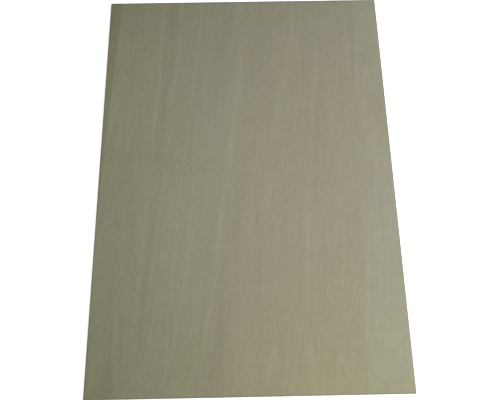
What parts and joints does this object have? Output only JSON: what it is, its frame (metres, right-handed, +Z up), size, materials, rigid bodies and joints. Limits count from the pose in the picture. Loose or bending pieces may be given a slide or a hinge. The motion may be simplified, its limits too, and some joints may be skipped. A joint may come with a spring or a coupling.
{
  "type": "plywood sheet",
  "caption": "Thin flat rectangular sheet of plywood, faced with pale close-grained hardwood veneer whose grain runs the long way.",
  "frame": {"origin": "on the underside, at the middle of the sheet, where it rests on the floor", "axes": "+Z up out of the face, +Y along the face grain, which is the sheet's length, and +X across it"},
  "size_m": [0.297, 0.42, 0.003],
  "materials": {
    "hardwood_veneer": "matte"
  },
  "bodies": {
    "root": {"plywood_sheet": "hardwood_veneer"}
  },
  "joints": []
}
